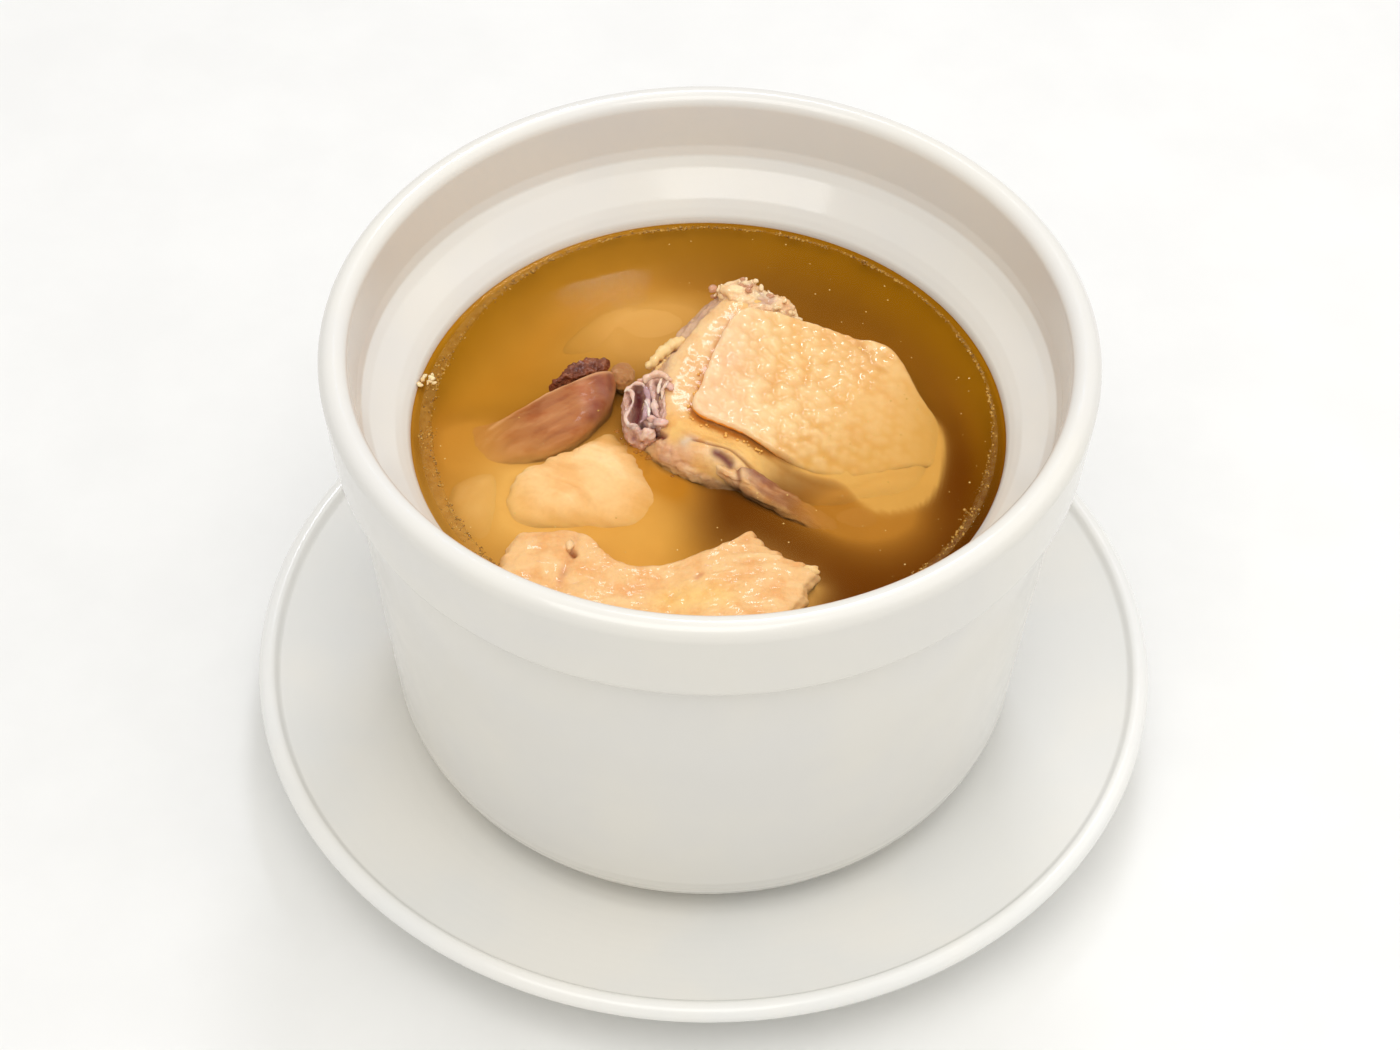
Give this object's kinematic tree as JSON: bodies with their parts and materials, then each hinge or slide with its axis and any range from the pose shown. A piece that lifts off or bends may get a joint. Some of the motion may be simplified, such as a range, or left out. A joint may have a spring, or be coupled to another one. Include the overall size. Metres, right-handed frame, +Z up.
{
  "type": "bowl of chicken soup",
  "caption": "Thick white steaming pot on its own saucer, filled with clear golden broth in which cut chicken on the bone stands; a dish to eat from with a spoon.",
  "frame": {"origin": "centre of the saucer's foot, on the surface it stands on", "axes": "+Z up, -Y towards the diner, +X to the diner's right"},
  "size_m": [0.1698, 0.1698, 0.1006],
  "materials": {
    "porcelain": "glossy white glaze",
    "broth": "clear golden liquid, wet gloss",
    "skin": "wet, pimpled",
    "pale_meat": "wet, fibrous",
    "dark_meat": "wet, smooth",
    "bone": "satin",
    "marrow": "wet, grainy",
    "cartilage": "wet, smooth"
  },
  "bodies": {
    "root": {"saucer": "porcelain", "pot": "porcelain", "thigh_skin": "skin", "thigh_meat": "pale_meat", "thigh_knuckle": "cartilage", "thigh_rib": "marrow", "thigh_gristle": "cartilage", "thigh_splinter": "bone", "dark_meat": "dark_meat", "dark_meat_marrow": "marrow", "dark_meat_knob": "cartilage", "middle_meat": "pale_meat", "front_meat": "pale_meat", "broth": "broth"}
  },
  "joints": []
}
